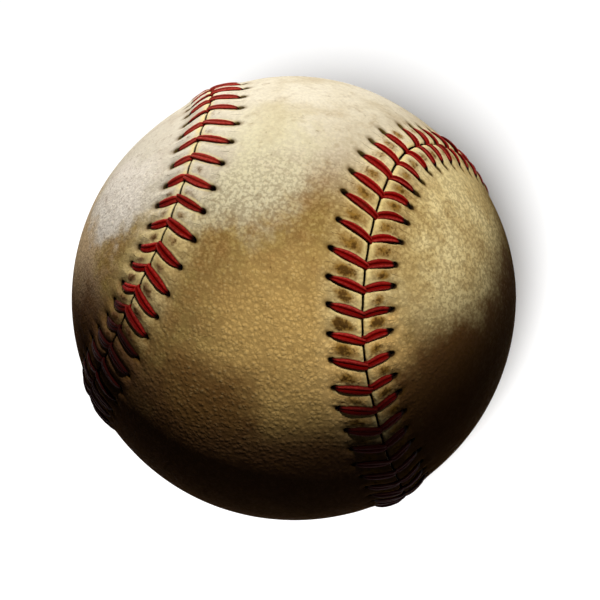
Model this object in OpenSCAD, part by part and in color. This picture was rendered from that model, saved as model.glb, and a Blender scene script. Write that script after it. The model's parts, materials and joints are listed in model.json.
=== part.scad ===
// Baseball: a cushioned cork centre, four windings of yarn, and a leather cover of
// two figure-eight panels closed by one raised seam of double stitches.
// Millimetres. The origin is the centre of the ball. The +Z axis leaves through
// the waist of panel A, and the -Z axis through the waist of panel B.

/* [Cork centre] */
// Diameter of the ball of cork and rubber at the middle
cork_d = 20.6; // [16:0.1:24]
// Thickness of the two black rubber half shells round the cork
half_shell_t = 3.97; // [2:0.01:6]
// Thickness of the red rubber washer between the two half shells
washer_t = 0.8; // [0.4:0.1:2]
// Thickness of the red rubber layer round the half shells
red_layer_t = 2.38; // [1:0.01:4]

/* [Yarn windings] */
// Thickness of the first winding, of four-ply grey wool
first_winding_t = 14.68; // [8:0.01:18]
// Thickness of the second winding, of three-ply white wool
second_winding_t = 1.77; // [0.5:0.01:4]
// Thickness of the third winding, of three-ply grey wool
third_winding_t = 2.27; // [0.5:0.01:4]
// Thickness of the finish winding, of fine white cotton
finish_winding_t = 0.51; // [0.2:0.01:2]
// Thickness of the coat of rubber cement that holds the cover
cement_t = 0.1; // [0.05:0.01:0.4]

/* [Leather cover] */
// Thickness of the leather
leather_t = 1.27; // [0.8:0.01:2]
// Width of a panel across its waist, from seam to seam along the ball
waist_w = 30.2; // [24:0.1:36]
// Squareness of the round ends of a panel, as a share of the seam's radius
lobe_share = 0.036; // [0:0.002:0.06]
// Width of the open seam between the two edges
seam_gap = 0.4; // [0.2:0.05:1]
// Height of the puckered ridge that the stitches pull up along each edge
ridge_h = 0.45; // [0.2:0.05:0.8]

/* [Stitching] */
// Number of double stitches round the seam
stitches = 108; // [96:2:120]
// Diameter of one strand of the waxed thread
strand_d = 0.72; // [0.4:0.02:1]
// Space between the two strands of a leg
strand_gap = 0.04; // [0.02:0.01:0.2]
// Distance of the holes in panel A from the seam
inset_a = 5.1; // [3.5:0.1:6.5]
// Distance of the holes in panel B from the seam
inset_b = 4.6; // [3.5:0.1:6.5]
// Lead of a panel A hole over the foot of its leg, along the seam
lead_a = 1.5; // [0.5:0.1:2.5]
// Lead of a panel B hole over the foot of its leg, along the seam
lead_b = 1; // [0.5:0.1:2.5]
// Height of the arch of a leg over the line between its two ends
arch_h = 1; // [0.6:0.05:1.4]
// Room left round a strand in the leather
seat_clearance = 0.03; // [0.01:0.01:0.1]

/* [Hidden] */
$fn = 96;

// Radii of the layers, each built on the one inside it.
cork_r = cork_d / 2;
half_shell_r = cork_r + half_shell_t;
red_layer_r = half_shell_r + red_layer_t;
first_r = red_layer_r + first_winding_t;
second_r = first_r + second_winding_t;
third_r = second_r + third_winding_t;
finish_r = third_r + finish_winding_t;
cement_r = finish_r + cement_t;
ball_r = cement_r + leather_t;

// The seam curve follows from the waist, so that the two panels are alike.
waist_slope = tan(waist_w / ball_r / PI * 90);
bend_root = sqrt(waist_slope * waist_slope + 1 + lobe_share) - waist_slope;
bend = bend_root * bend_root;

function unit(v) = v / norm(v);

// Direction of the seam from the ball's centre, for an angle of travel.
function seam_dir(t) = unit([
    cos(t) - bend * cos(3 * t) + lobe_share * cos(5 * t),
    sin(t) + bend * sin(3 * t) + lobe_share * sin(5 * t),
    2 * bend_root * cos(2 * t)
]);

// Direction of travel along the seam, from two places close to each other.
near = 0.05;
function seam_run(t) = unit(seam_dir(t + near) - seam_dir(t - near));

// Direction of a place that lies a distance inside panel A, or B when it is negative.
function beside(t, distance) =
    let (turn = distance / ball_r * 180 / PI)
    seam_dir(t) * cos(turn) + cross(seam_dir(t), seam_run(t)) * sin(turn);

// Angle of travel against length along the seam, measured on the leather's surface.
table_steps = 720;
table_angles = [for (i = [0:table_steps]) 360 * i / table_steps];
table_chords = [for (i = [1:table_steps])
    norm(seam_dir(table_angles[i]) - seam_dir(table_angles[i - 1])) * ball_r];
seam_table = [for (i = 0, s = 0; i <= table_steps; s = s + (i < table_steps ? table_chords[i] : 0), i = i + 1)
    [s, table_angles[i]]];
seam_length = seam_table[table_steps][0];

function seam_angle(s) = lookup(s - seam_length * floor(s / seam_length), seam_table);

// Panel outline: steps along the half of the seam that lies at positive X of panel A.
half_steps = 108;
cone_r = 3 * ball_r;

// Stitches: place of the first one, and of the two ends of a leg.
stitch_pitch = seam_length / stitches;
first_stitch_share = 0.554;
strand_r = strand_d / 2;
foot_out = seam_gap / 2;
end_depth = leather_t - strand_r;
end_out_share = 0.6;
end_out = strand_d * end_out_share;

// Share of a hole's run that lies before the leg's end.
hole_start_share = 0.6;

function stitch_place(k) = (k + first_stitch_share) * stitch_pitch;
function inset(side) = side > 0 ? inset_a : inset_b;
function lead(side) = side > 0 ? lead_a : lead_b;

// Foot of a leg, over the open seam, and its end, at the bottom of its hole.
function leg_foot(place, side) =
    beside(seam_angle(place), side * foot_out) * (ball_r + ridge_h);
function leg_end(place, side) =
    beside(seam_angle(place + lead(side)), side * (inset(side) + end_out)) * (ball_r - end_depth);

// Axes of a leg: X from foot to end, Y across, Z out of the ball.
function leg_axes(foot, end) =
    let (x = unit(end - foot), y = unit(cross(foot + end, x)))
    [x, y, cross(x, y)];

// Radius of the arch that a span makes with the arch height, and its rise at a place in the span.
function arch_radius(span) = (span * span / 4 + arch_h * arch_h) / (2 * arch_h);
function arch_rise(x, span) =
    let (r = arch_radius(span)) sqrt(r * r - (x - span / 2) * (x - span / 2)) - r + arch_h;

// Height of the leather that fits under a leg, at a share of its span.
function under_leg(side, share) =
    let (
        foot = leg_foot(0, side),
        end = leg_end(0, side),
        axes = leg_axes(foot, end),
        span = norm(end - foot),
        x = share * span,
        lean = asin((x - span / 2) / arch_radius(span))
    )
    norm(foot + axes[0] * x + axes[2] * arch_rise(x, span))
        - ball_r - (strand_r + seat_clearance) / cos(lean);

// Ridge: shares of a leg's span where its height is taken from the leg above it.
ridge_steps = 216;
ridge_shares = [0.25, 0.5, 0.75];
ridge_root = leather_t / 2;

// Closed layer between two radii.
module layer(outer_r, inner_r) {
    difference() {
        sphere(r = outer_r);
        sphere(r = inner_r);
    }
}

// Half of a layer, above the washer.
module half_layer(outer_r, inner_r) {
    difference() {
        layer(outer_r, inner_r);
        translate([-outer_r, -outer_r, washer_t / 2 - 2 * outer_r])
            cube(2 * outer_r);
    }
}

// Turns panel A's place into panel B's, and panel B's into panel A's.
module swap_sides() {
    rotate([180, 0, 90])
        children();
}

// Cone from the ball's centre through the edge of panel A. Each step along the seam
// has a twin across the YZ plane, and the two are joined by a flat strip.
module panel_a_cone() {
    edge = [for (j = [0:half_steps]) beside(180 * j / half_steps - 90, seam_gap / 2) * cone_r];
    twin = [for (p = edge) [-p[0], p[1], p[2]]];
    first_edge = 1;
    last_edge = half_steps + 1;
    first_twin = half_steps + 2;
    last = half_steps - 1;
    polyhedron(
        points = concat([[0, 0, 0]], edge, twin),
        faces = concat(
            [for (j = [0:last]) [0, first_edge + j, first_edge + j + 1]],
            [for (j = [0:last])
                [0, j < last ? first_twin + j + 1 : last_edge, j > 0 ? first_twin + j : first_edge]],
            [for (j = [0:last]) j == 0
                ? [first_edge, first_twin + 1, first_edge + 1]
                : j == last ? [first_edge + j, first_twin + j, last_edge]
                : [first_edge + j, first_twin + j, first_twin + j + 1, first_edge + j + 1]]
        )
    );
}

// Ridge along the edge of a panel: a closed strip that rises under the legs
// and is rooted in the middle of the leather.
module edge_ridge(side) {
    reach = inset(side) + end_out - foot_out;
    profile = concat(
        [[-seam_gap, ridge_h]],
        [for (share = ridge_shares) [foot_out + reach * share, under_leg(side, share)]],
        [[foot_out, -ridge_root]]
    );
    sides = len(profile);
    points = [for (i = [0:ridge_steps - 1]) for (place = profile)
        beside(360 * i / ridge_steps, side * place[0]) * (ball_r + place[1])];
    faces = [for (i = [0:ridge_steps - 1]) for (k = [0:sides - 1])
        let (
            a = i * sides + k,
            b = i * sides + (k + 1) % sides,
            n = (i + 1) % ridge_steps,
            c = n * sides + (k + 1) % sides,
            d = n * sides + k
        )
        each side > 0 ? [[a, b, c], [a, c, d]] : [[c, b, a], [d, c, a]]];
    polyhedron(points = points, faces = faces);
}

// Puts its children in a leg's own axes, with the leg's foot at the origin.
module at_leg(place, side) {
    foot = leg_foot(place, side);
    axes = leg_axes(foot, leg_end(place, side));
    multmatrix([
        [axes[0][0], axes[1][0], axes[2][0], foot[0]],
        [axes[0][1], axes[1][1], axes[2][1], foot[1]],
        [axes[0][2], axes[1][2], axes[2][2], foot[2]],
        [0, 0, 0, 1]
    ]) children();
}

function leg_span(place, side) = norm(leg_end(place, side) - leg_foot(place, side));

// One leg: two strands side by side that arch from the open seam to a hole.
module leg(place, side) {
    span = leg_span(place, side);
    arch_r = arch_radius(span);
    half_sweep = asin(span / 2 / arch_r);
    at_leg(place, side)
        for (row = [-1, 1])
            translate([span / 2, row * (strand_d + strand_gap) / 2, arch_h - arch_r])
                rotate([90, 0, 0])
                    rotate([0, 0, 90 - half_sweep])
                        rotate_extrude(angle = 2 * half_sweep, $fn = 48)
                            translate([arch_r, 0])
                                circle(d = strand_d, $fn = 16);
}

// Room for a leg in the leather: a notch in the edge under its foot, and a hole
// that runs on through the leather the way the leg goes into it.
module leg_room(place, side) {
    span = leg_span(place, side);
    half_sweep = asin(span / 2 / arch_radius(span));
    room_w = 2 * (strand_d + seat_clearance) + strand_gap;
    half_room = strand_r + seat_clearance;
    hole_run = 2 * leather_t;
    sag = hole_run * hole_run / 8 / arch_radius(span);
    at_leg(place, side) {
        rotate([0, -half_sweep, 0])
            translate([-seam_gap, -room_w / 2, -half_room])
                cube([seam_gap + strand_d, room_w, 2 * half_room]);
        translate([span, 0, 0])
            rotate([0, half_sweep, 0])
                translate([-hole_run * hole_start_share, -room_w / 2, -half_room - sag])
                    cube([hole_run, room_w, 2 * half_room + sag]);
    }
}

// Thread one crosses to panel A at the even stitches and to panel B at the odd ones,
// and thread two does the opposite.
module thread(which) {
    for (k = [0:stitches - 1])
        leg(stitch_place(k), (k + which) % 2 == 0 ? 1 : -1);
}

// Panel before its holes and notches: shell of leather and ridge, trimmed along the seam.
module panel_blank(side) {
    intersection() {
        union() {
            layer(ball_r, cement_r);
            edge_ridge(side);
        }
        if (side > 0)
            panel_a_cone();
        else
            swap_sides() panel_a_cone();
    }
}

module panel(side) {
    difference() {
        panel_blank(side);
        for (k = [0:stitches - 1])
            leg_room(stitch_place(k), side);
    }
}

module cork_core() {
    color("#c8a06a")
        sphere(r = cork_r);
}

module inner_shell_upper() {
    color("#26262a")
        half_layer(half_shell_r, cork_r);
}

module inner_shell_lower() {
    color("#303036")
        rotate([180, 0, 0])
            half_layer(half_shell_r, cork_r);
}

module shell_gasket() {
    color("#a8322c")
        intersection() {
            layer(half_shell_r, cork_r);
            translate([0, 0, -washer_t / 2])
                cylinder(r = 2 * half_shell_r, h = washer_t);
        }
}

module red_rubber_layer() {
    color("#b23a2e")
        layer(red_layer_r, half_shell_r);
}

module first_winding() {
    color("#8f8f8c")
        layer(first_r, red_layer_r);
}

module second_winding() {
    color("#e4e0d4")
        layer(second_r, first_r);
}

module third_winding() {
    color("#9c9b97")
        layer(third_r, second_r);
}

module finish_winding() {
    color("#efece2")
        layer(finish_r, third_r);
}

module cement_coat() {
    color("#d9c9a0")
        layer(cement_r, finish_r);
}

module cover_panel_a() {
    color("#dccba0")
        panel(1);
}

module cover_panel_b() {
    color("#d3c195")
        panel(-1);
}

module stitch_thread_one() {
    color("#8e1a12")
        thread(0);
}

module stitch_thread_two() {
    color("#9c2016")
        thread(1);
}

cork_core();
inner_shell_upper();
inner_shell_lower();
shell_gasket();
red_rubber_layer();
first_winding();
second_winding();
third_winding();
finish_winding();
cement_coat();
cover_panel_a();
cover_panel_b();
stitch_thread_one();
stitch_thread_two();
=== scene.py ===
import json
import math
from functools import cached_property

import bpy
import numpy as np
from mathutils import Matrix, Vector


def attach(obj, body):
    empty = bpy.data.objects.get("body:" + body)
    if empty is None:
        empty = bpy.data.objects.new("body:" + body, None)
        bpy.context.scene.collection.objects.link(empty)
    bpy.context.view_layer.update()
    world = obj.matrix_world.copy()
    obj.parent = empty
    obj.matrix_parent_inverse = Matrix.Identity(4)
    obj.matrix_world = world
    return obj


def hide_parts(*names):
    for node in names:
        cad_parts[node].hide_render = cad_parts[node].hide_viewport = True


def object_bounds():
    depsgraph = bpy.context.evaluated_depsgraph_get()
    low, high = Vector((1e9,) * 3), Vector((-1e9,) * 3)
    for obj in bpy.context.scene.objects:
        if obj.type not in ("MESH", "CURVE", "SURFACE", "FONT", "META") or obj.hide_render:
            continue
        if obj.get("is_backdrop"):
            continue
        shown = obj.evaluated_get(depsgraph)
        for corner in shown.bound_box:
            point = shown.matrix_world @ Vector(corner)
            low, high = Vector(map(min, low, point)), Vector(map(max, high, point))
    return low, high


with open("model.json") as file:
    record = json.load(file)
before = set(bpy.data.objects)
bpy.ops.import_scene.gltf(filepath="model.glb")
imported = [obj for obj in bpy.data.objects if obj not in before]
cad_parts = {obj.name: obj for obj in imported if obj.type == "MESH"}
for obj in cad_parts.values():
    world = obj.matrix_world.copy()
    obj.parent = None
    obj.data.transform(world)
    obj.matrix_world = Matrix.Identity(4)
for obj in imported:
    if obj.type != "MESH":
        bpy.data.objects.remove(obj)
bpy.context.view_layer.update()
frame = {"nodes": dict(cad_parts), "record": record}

# Sizes, in mm where no other unit is given
MM = 0.001
CEMENT_R = 35.98   # outside of the coat under the leather
BALL_R = 37.25     # outside of the leather, away from the seam
WAIST_W = 30.2     # across the waist of a panel
LOBE = 0.036       # share by which the seam's curve is drawn out at its lobes
GAP = 0.26         # between the two panels at the open seam
STITCHES = 108
FIRST = 0.554      # place of stitch 0, in stitches from the start of the seam
PER_STITCH = 26    # rows of the leather's mesh to a stitch
CREST_H = 0.62     # height of the leather's ridge at the seam

# Directions of the photograph's right, top and near side, in the row frame
RIGHT = np.array([0.9567, 0.2868, -0.0496])
TOWARD = np.array([0.1813, -0.4541, 0.8723])
TOWARD /= np.linalg.norm(TOWARD)
RIGHT -= TOWARD * (RIGHT @ TOWARD)
RIGHT /= np.linalg.norm(RIGHT)
UP = np.cross(TOWARD, RIGHT)


def seen_from(x, y, z):
    """The direction that is x to the right, y up and z towards the viewer in the photograph."""
    return RIGHT * x + UP * y + TOWARD * z


# The seam's curve
TABLE_N = 14401
TURN = 1e-4   # radians, a short step along the curve that gives its direction
slope = math.tan(WAIST_W / 2 / BALL_R)
root = math.sqrt(slope * slope + 1 + LOBE) - slope
bend = root * root


def unit(v):
    return v / np.linalg.norm(v, axis=-1, keepdims=True)


def seam_dir(t):
    return unit(np.stack([
        np.cos(t) - bend * np.cos(3 * t) + LOBE * np.cos(5 * t),
        np.sin(t) + bend * np.sin(3 * t) + LOBE * np.sin(5 * t),
        2 * root * np.cos(2 * t),
    ], axis=-1))


def arc_lengths(points):
    """Length of a line from its first point to each of its points."""
    return np.concatenate([[0], np.cumsum(np.linalg.norm(np.diff(points, axis=0), axis=1))])


table_t = np.linspace(0, 2 * math.pi, TABLE_N)
table_s = arc_lengths(seam_dir(table_t)) * BALL_R
LENGTH = table_s[-1]
PITCH = LENGTH / STITCHES


def seam_frame(s):
    """Direction of the seam, direction of travel, and the direction towards panel A."""
    t = np.interp(np.mod(s, LENGTH), table_s, table_t)
    c = seam_dir(t)
    run = unit(seam_dir(t + TURN) - seam_dir(t - TURN))
    return c, run, np.cross(c, run)


def knots(table):
    """A value that changes slowly from stitch to stitch, from a few places along the seam."""
    at = np.array([k for k, v in table])
    value = np.array([v for k, v in table])
    return lambda q: np.interp(q, at, value, period=STITCHES)


# The sewing is uneven. In these tables a place is in stitches from the start of the seam, and a length in mm.
# Side 1 is panel A and side -1 is panel B.
# How far the seam strays towards panel A
WANDER = knots([
    (0.5, 0.0), (3.0, 0.1), (4.0, 0.05), (5.0, -0.3), (6.0, -0.7), (7.0, -1.1), (8.5, -1.5), (11, -1.6),
    (15, -1.2), (20, -0.5), (30, 0), (49.6, -0.55), (52.6, -0.4), (54.6, 0), (56.6, 0.25), (57.6, 0.2),
    (58.6, 0.0), (59.6, -0.1), (60.6, 0.0), (61.6, 0.2), (62.6, 0.3), (64, 0.3), (67, 0), (80, 0),
    (86, 1.2), (92, 1.7), (95, 1.4), (97, 1.05), (98.6, 0.5), (99.6, 0.2), (101.6, 0), (104.6, -0.2),
    (107.0, -0.1),
])
# How far a stitch's foot is gathered along the seam
GATHER = knots([
    (0.6, 0.15), (2.6, 0.4), (3.6, 0.2), (4.6, 0.5), (5.6, 0.1), (6.6, -0.35), (8.6, -0.6), (10, -0.2),
    (13, 0), (54, 0), (57, -0.15), (59.5, -0.2), (60.5, -0.45), (61.5, -0.4), (62.6, -0.15), (64, -0.25),
    (67, 0), (94, 0), (96, 0.25), (98, 0), (106, 0),
])
# How dirty the leather between the legs is, how far that dirt and painted shade lie towards one of the two
# legs, and its size
SOIL = knots([
    (1, 0.7), (4, 0.5), (12, 0.4), (30, 0.4), (45, 0.10), (53, 0.2), (56, 0.45), (60, 0.8), (66, 0.8),
    (85, 0.6), (95, 0.65), (100, 0.72), (104, 1.0),
])
# The smudges lie towards the lower leg of each run, on the slope between the legs that is in shade, so they
# paint that shade too
SMUDGE_TO_SHADED_SIDE = knots([(20, 0.15), (30, -0.15), (76, -0.15), (86, 0.15)])
SPREAD = knots([(20, 1.0), (45, 0.72), (66, 0.72), (85, 1.0)])
# Share of the full width of the legs, and how much of the way to its hole a leg shows
SLIM = knots([
    (0, 1.0), (2, 0.88), (5, 0.76), (12, 0.70), (22, 0.9), (35, 0.9), (46, 0.66), (50, 0.72), (53, 0.86),
    (56, 1.0), (95, 1.0),
])
REACH = {
    1: knots([
        (0, 0.97), (2, 0.90), (5, 0.84), (12, 0.86), (30, 0.95), (46, 0.93), (52, 0.95), (58, 1.0),
        (100, 1.0),
    ]),
    -1: knots([(0, 1.0), (2, 0.95), (5, 0.90), (12, 0.88), (30, 0.95), (48, 0.97), (58, 1.0), (100, 1.0)]),
}
# Size of the hole marks on side -1, as a share
MARK = knots([(0, 1.30), (4, 1.0), (14, 1.0), (30, 1.25), (45, 1.15), (52, 1.3), (100, 1.35)])
# Share of the full height of the ridge and the legs
RIDGE = knots([(2, 1.0), (5, 0.6), (13, 0.5), (22, 1.0), (88, 1.0), (93, 1.15), (98, 1.0)])
# How far the holes are from the seam, and how far along it from the foot
INSET_AT = {
    1: knots([
        (0.6, 5.5), (3.6, 5.4), (4.6, 4.95), (5.6, 5.0), (6.6, 5.3), (8, 6.0), (11, 6.2), (16, 5.7),
        (30, 5.1), (49.6, 5.4), (52.6, 5.6), (54.6, 5.0), (57.6, 4.85), (58.6, 5.1), (60.6, 4.9),
        (62.6, 4.95), (64, 5.1), (80, 5.1), (95.6, 4.85), (96.6, 5.1), (97.6, 4.75), (99.6, 5.2),
        (103.6, 5.0), (105.6, 5.5),
    ]),
    -1: knots([
        (3.6, 5.1), (5, 4.9), (6.6, 4.6), (8, 4.1), (11, 3.9), (16, 4.2), (30, 4.6), (48.6, 4.4),
        (50.6, 3.95), (54.6, 3.75), (58.6, 3.6), (60.6, 3.7), (61.6, 3.9), (62.6, 4.4), (64.6, 4.8),
        (80, 4.6), (95.6, 4.55), (97.0, 4.15), (98.6, 4.45), (100.6, 4.3), (102.6, 4.7), (104.6, 5.0),
        (107.6, 5.1),
    ]),
}
LEAD_AT = {
    1: knots([
        (1.6, 1.8), (3.6, 1.3), (4.6, 2.2), (5.6, 1.9), (6.6, 1.45), (9, 1.0), (12, 1.1), (30, 1.5),
        (49.6, 0.7), (52.6, 0.85), (55.6, 1.25), (57.6, 1.65), (59.6, 1.88), (61.6, 1.42), (63.6, 1.35),
        (80, 1.5), (94, 2.0), (96.6, 2.25), (98.6, 2.0), (99.6, 1.95), (103.6, 1.45), (105.6, 1.75),
        (107.6, 2.15),
    ]),
    -1: knots([
        (0.6, 1.4), (1.6, 1.1), (2.6, 0.9), (3.6, 0.75), (4.6, 0.35), (8, 0.35), (12, 0.5), (30, 1.0),
        (49.6, 1.65), (53.6, 1.45), (55.6, 1.7), (58.6, 1.45), (60.6, 1.55), (62.6, 1.0), (80, 1.0),
        (95.6, 0.6), (98.6, 0.45), (100.6, 0.35), (103.6, 0.8), (105.6, 1.5), (107.6, 1.6),
    ]),
}


def beside(s, d):
    """Direction of the place at arc s and at d mm from the seam, towards panel A."""
    c, run, side = seam_frame(s)
    a = ((np.asarray(d) + WANDER(np.asarray(s) / PITCH)) / BALL_R)[..., None]
    return c * np.cos(a) + side * np.sin(a)


def smooth(x, lo, hi):
    u = np.clip((x - lo) / (hi - lo), 0, 1)
    return u * u * (3 - 2 * u)


def bell(x, width):
    return np.exp(-(x / width) ** 2)


# The ball under the leather isn't quite even. Each band of waves has a count, a lowest and a highest
# frequency, and a height in mm.
WAVE_BANDS = ((14, 1.5, 4.0, 0.030), (26, 6.0, 16.0, 0.012), (40, 22.0, 45.0, 0.005))
WAVE_GAIN = 1.6
# An old ball isn't quite round: where it is full or flat, how closely this keeps to the place, and the mm
OUT_OF_ROUND = [((0.61, 0.73, 0.30), 7.4, -0.80), ((-0.60, 0.78, 0.10), 8.2, -0.35),
                ((-0.76, -0.64, 0.0), 4.2, 0.28), ((0.42, -0.91, 0.0), 6.8, 0.20)]

wave_rng = np.random.default_rng(7)
waves = []
for count, low, high, amp in WAVE_BANDS:
    vectors = unit(wave_rng.normal(size=(count, 3))) * wave_rng.uniform(low, high, size=(count, 1))
    waves.append((vectors, wave_rng.uniform(0, 2 * math.pi, count), amp))


def unevenness(p):
    """Slight unevenness of the wound ball under the leather, in mm."""
    h = np.zeros(p.shape[:-1])
    for place, close, mm in OUT_OF_ROUND:
        h += mm * np.exp(close * (p @ unit(seen_from(*place)) - 1))
    for vectors, phase, amp in waves:
        h += amp * np.sin(p @ vectors.T + phase).sum(axis=-1) / math.sqrt(len(phase)) * WAVE_GAIN
    return h


# The stitches. Sideways bow of a leg, and the middle and half-length of the smudge beside it, by side.
BOW = {1: 0.12, -1: 0.32}
BLOT_AT = {1: 2.9, -1: 2.3}
BLOT_LONG = {1: 1.55, -1: 1.25}
BLOT_WIDE = 0.92
# How much each value strays from stitch to stitch: mm, radians for twist, a share for fat and pit
STRAY = {"foot": 0.08, "inset": 0.10, "lead": 0.09, "fat": 0.05, "lift": 0.025, "twist": 0.20, "bow": 0.07,
         "pit": 0.12, "blot_at": 0.25, "blot_off": 0.12}
# Darkness between a leg's two strands, and strength of a smudge, from stitch to stitch
SPLIT_SHARES = (0.15, 0.85)
BLOT_SHARES = (0.6, 1.0)
stitch_rng = np.random.default_rng(21)


def sew(side):
    """Places and sizes of the legs of one side, in the order of the stitches."""
    at = np.arange(STITCHES) + FIRST

    def stray(key, middle=0.0, shape=STITCHES):
        return stitch_rng.normal(middle, STRAY[key], shape)

    return {
        "foot": at * PITCH + GATHER(at) + stray("foot"),
        "inset": INSET_AT[side](at) + stray("inset"),
        "lead": LEAD_AT[side](at) + stray("lead"),
        "fat": stray("fat", 1.0) * SLIM(at),
        "reach": REACH[side](at),
        "lift": stray("lift"),
        "twist": stray("twist", 0.0, (STITCHES, 2)),
        "tone": stitch_rng.uniform(0, 1, STITCHES),
        "bow": stray("bow", BOW[side]),
        "pit": stray("pit", 1.0),
        "split": stitch_rng.uniform(*SPLIT_SHARES, STITCHES),
        "blot": stitch_rng.uniform(*BLOT_SHARES, STITCHES),
        "blot_at": stray("blot_at", BLOT_AT[side]),
        "blot_off": stray("blot_off"),
    }


SEWN = {side: sew(side) for side in (1, -1)}

# Half-width of a leg from its foot (0) to its hole (1)
LEG_SHARES = [0, 0.08, 0.2, 0.4, 0.6, 0.75, 0.88, 1.0]
LEG_HALF = {1: [0.50, 0.58, 0.67, 0.74, 0.71, 0.61, 0.46, 0.34],
            -1: [0.48, 0.55, 0.63, 0.70, 0.68, 0.58, 0.45, 0.33]}
FAR = 99.0          # mm, farther than any leg or hole
SEARCH_EARLY = 0.2  # stitches by which the search for the nearest leg starts early
SEARCHED = (-1, 0, 1, 2)
END_SLOPE = 1.2     # mm outside the leg for each mm beyond its end
MARK_SHIFT = 0.3    # mm that a hole mark of twice the size would move towards the seam


def stitch_coords(s, d, side):
    """Where a place beside the seam is among the stitches: mm outside the nearest leg, mm across from the
    nearest middle line, how far past the nearest hole and how far across from it, and how smudged it is."""
    j = SEWN[side]
    k0 = np.floor(s / PITCH - FIRST - SEARCH_EARLY).astype(int)
    mark = 1.0 if side > 0 else MARK(s / PITCH)
    size = SPREAD(s / PITCH)
    best_edge, across_near, best_hole = (np.full(s.shape, FAR) for _ in range(3))
    hole_u, hole_v, blot = (np.zeros(s.shape) for _ in range(3))
    for off in SEARCHED:
        k = np.mod(k0 + off, STITCHES)
        turn = (k0 + off - k) * PITCH
        lead, inset = j["lead"][k], j["inset"][k]
        length = np.hypot(lead, inset)
        ls, ld = lead / length, inset / length
        from_foot = s - (j["foot"][k] + turn)
        along = from_foot * ls + d * ld
        reach = j["reach"][k]
        slack = (1 - reach) * length
        share = np.clip(along / (length * reach), 0, 1)
        across = from_foot * ld - d * ls - j["bow"][k] * np.sin(math.pi * share)
        half = np.interp(share, LEG_SHARES, LEG_HALF[side]) * j["fat"][k]
        edge = np.abs(across) - half + END_SLOPE * np.maximum(along - length * reach, 0)
        best_edge = np.where(edge < best_edge, edge, best_edge)
        across_near = np.where(np.abs(across) < np.abs(across_near), across, across_near)
        past_hole = along - length + slack / 2 + MARK_SHIFT * (mark - 1)
        u = past_hole / j["pit"][k] / (1 + slack) / mark
        v = across / mark
        hole = np.hypot(u, v)
        closer = hole < best_hole
        best_hole = np.where(closer, hole, best_hole)
        hole_u = np.where(closer, u, hole_u)
        hole_v = np.where(closer, v, hole_v)
        off_middle = across - PITCH / 2 * ld + j["blot_off"][k] + SMUDGE_TO_SHADED_SIDE(s / PITCH)
        off_place = d / size - j["blot_at"][k]
        spot = bell(off_middle / BLOT_WIDE, size) * bell(off_place, BLOT_LONG[side])
        blot = np.maximum(blot, spot * j["blot"][k] * SOIL(s / PITCH))
    return best_edge, np.abs(across_near), hole_u, hole_v, blot


# Form of the leather beside the seam. A range runs from where a change starts to where it is full.
LIP_R = 0.45
CREST_FLAT = 0.9
CREST_FALL = 2.75
# A leg presses the leather down between the seam and its hole
PRESS_H = 0.17
PRESS_W = 0.95
PRESS_FROM_SEAM = (-0.2, 0.6)
PRESS_PAST_HOLES = (0.9, -0.6)
# The leather swells between the legs
SWELL_H = 0.13
SWELL_W = 1.9
SWELL_AT = 2.2
SWELL_FROM_LEG = (0.5, 1.8)
# The edge of the leather dips under a leg
DIP_H = 0.22
DIP_W = 0.7
# The leather is drawn in round each hole
PULL_H = 0.12
PULL_W = 1.2
PULL_LONG_SHARE = 0.8
# A crease runs on from each hole, away from the seam
CREASE_H = 0.08
CREASE_W = 0.42
CREASE_FROM_HOLE = (0.0, 0.8)
CREASE_FADE_AT = 0.6
CREASE_FADE = 1.3
# The hole itself is a slot, longer along the leg
SLOT_H = 1.0
SLOT_BACK = 0.06
SLOT_LONG = 0.46
SLOT_WIDE = 0.31
SLOT_RIM_SHARE = 1.25
SLOT_WALL_SHARE = 0.6
# The slot runs out shallow, away from the seam
RUN_OUT_H = 0.06
RUN_OUT_W = 0.3
RUN_OUT_FROM = (0.2, 0.6)
RUN_OUT_TO = (1.1, 0.5)


def welt(d, ridge=1.0):
    """Rise of the leather towards the seam, with its edge turned down into the seam."""
    fall = CREST_H * ridge * bell(np.maximum(d - CREST_FLAT, 0), CREST_FALL)
    over_edge = np.clip(GAP / 2 + LIP_R - d, 0, LIP_R)
    return fall - (LIP_R - np.sqrt(np.clip(LIP_R ** 2 - over_edge ** 2, 0, None)))


def leather_height(s, d, side, p):
    """Height of the leather above the even ball, and the place among the stitches."""
    edge, across, hole_u, hole_v, blot = stitch_coords(s, d, side)
    holes = np.mean(SEWN[side]["inset"])
    before_holes = smooth(d, *(holes + past for past in PRESS_PAST_HOLES))
    ridge = RIDGE(s / PITCH)
    h = welt(d, ridge)
    h = h - PRESS_H * ridge * bell(across, PRESS_W) * before_holes * smooth(d, *PRESS_FROM_SEAM)
    h = h + SWELL_H * ridge * smooth(across, *SWELL_FROM_LEG) * bell(d - SWELL_AT, SWELL_W)
    h = h - DIP_H * bell(across, DIP_W) * bell(d, DIP_W)
    h = h - PULL_H * bell(np.hypot(hole_u * PULL_LONG_SHARE, hole_v), PULL_W)
    fade = np.exp(-np.maximum(hole_u - CREASE_FADE_AT, 0) / CREASE_FADE)
    h = h - CREASE_H * bell(hole_v, CREASE_W) * smooth(hole_u, *CREASE_FROM_HOLE) * fade
    slot = SLOT_RIM_SHARE - np.hypot((hole_u + SLOT_BACK) / SLOT_LONG, hole_v / SLOT_WIDE)
    h = h - SLOT_H * smooth(slot, 0, SLOT_WALL_SHARE)
    run_out = bell(hole_v, RUN_OUT_W) * smooth(hole_u, *RUN_OUT_FROM) * smooth(hole_u, *RUN_OUT_TO)
    h = h - RUN_OUT_H * run_out
    return h + unevenness(p), {"edge_mm": edge, "hole_u": hole_u, "hole_v": hole_v, "smudge": blot}


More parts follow.
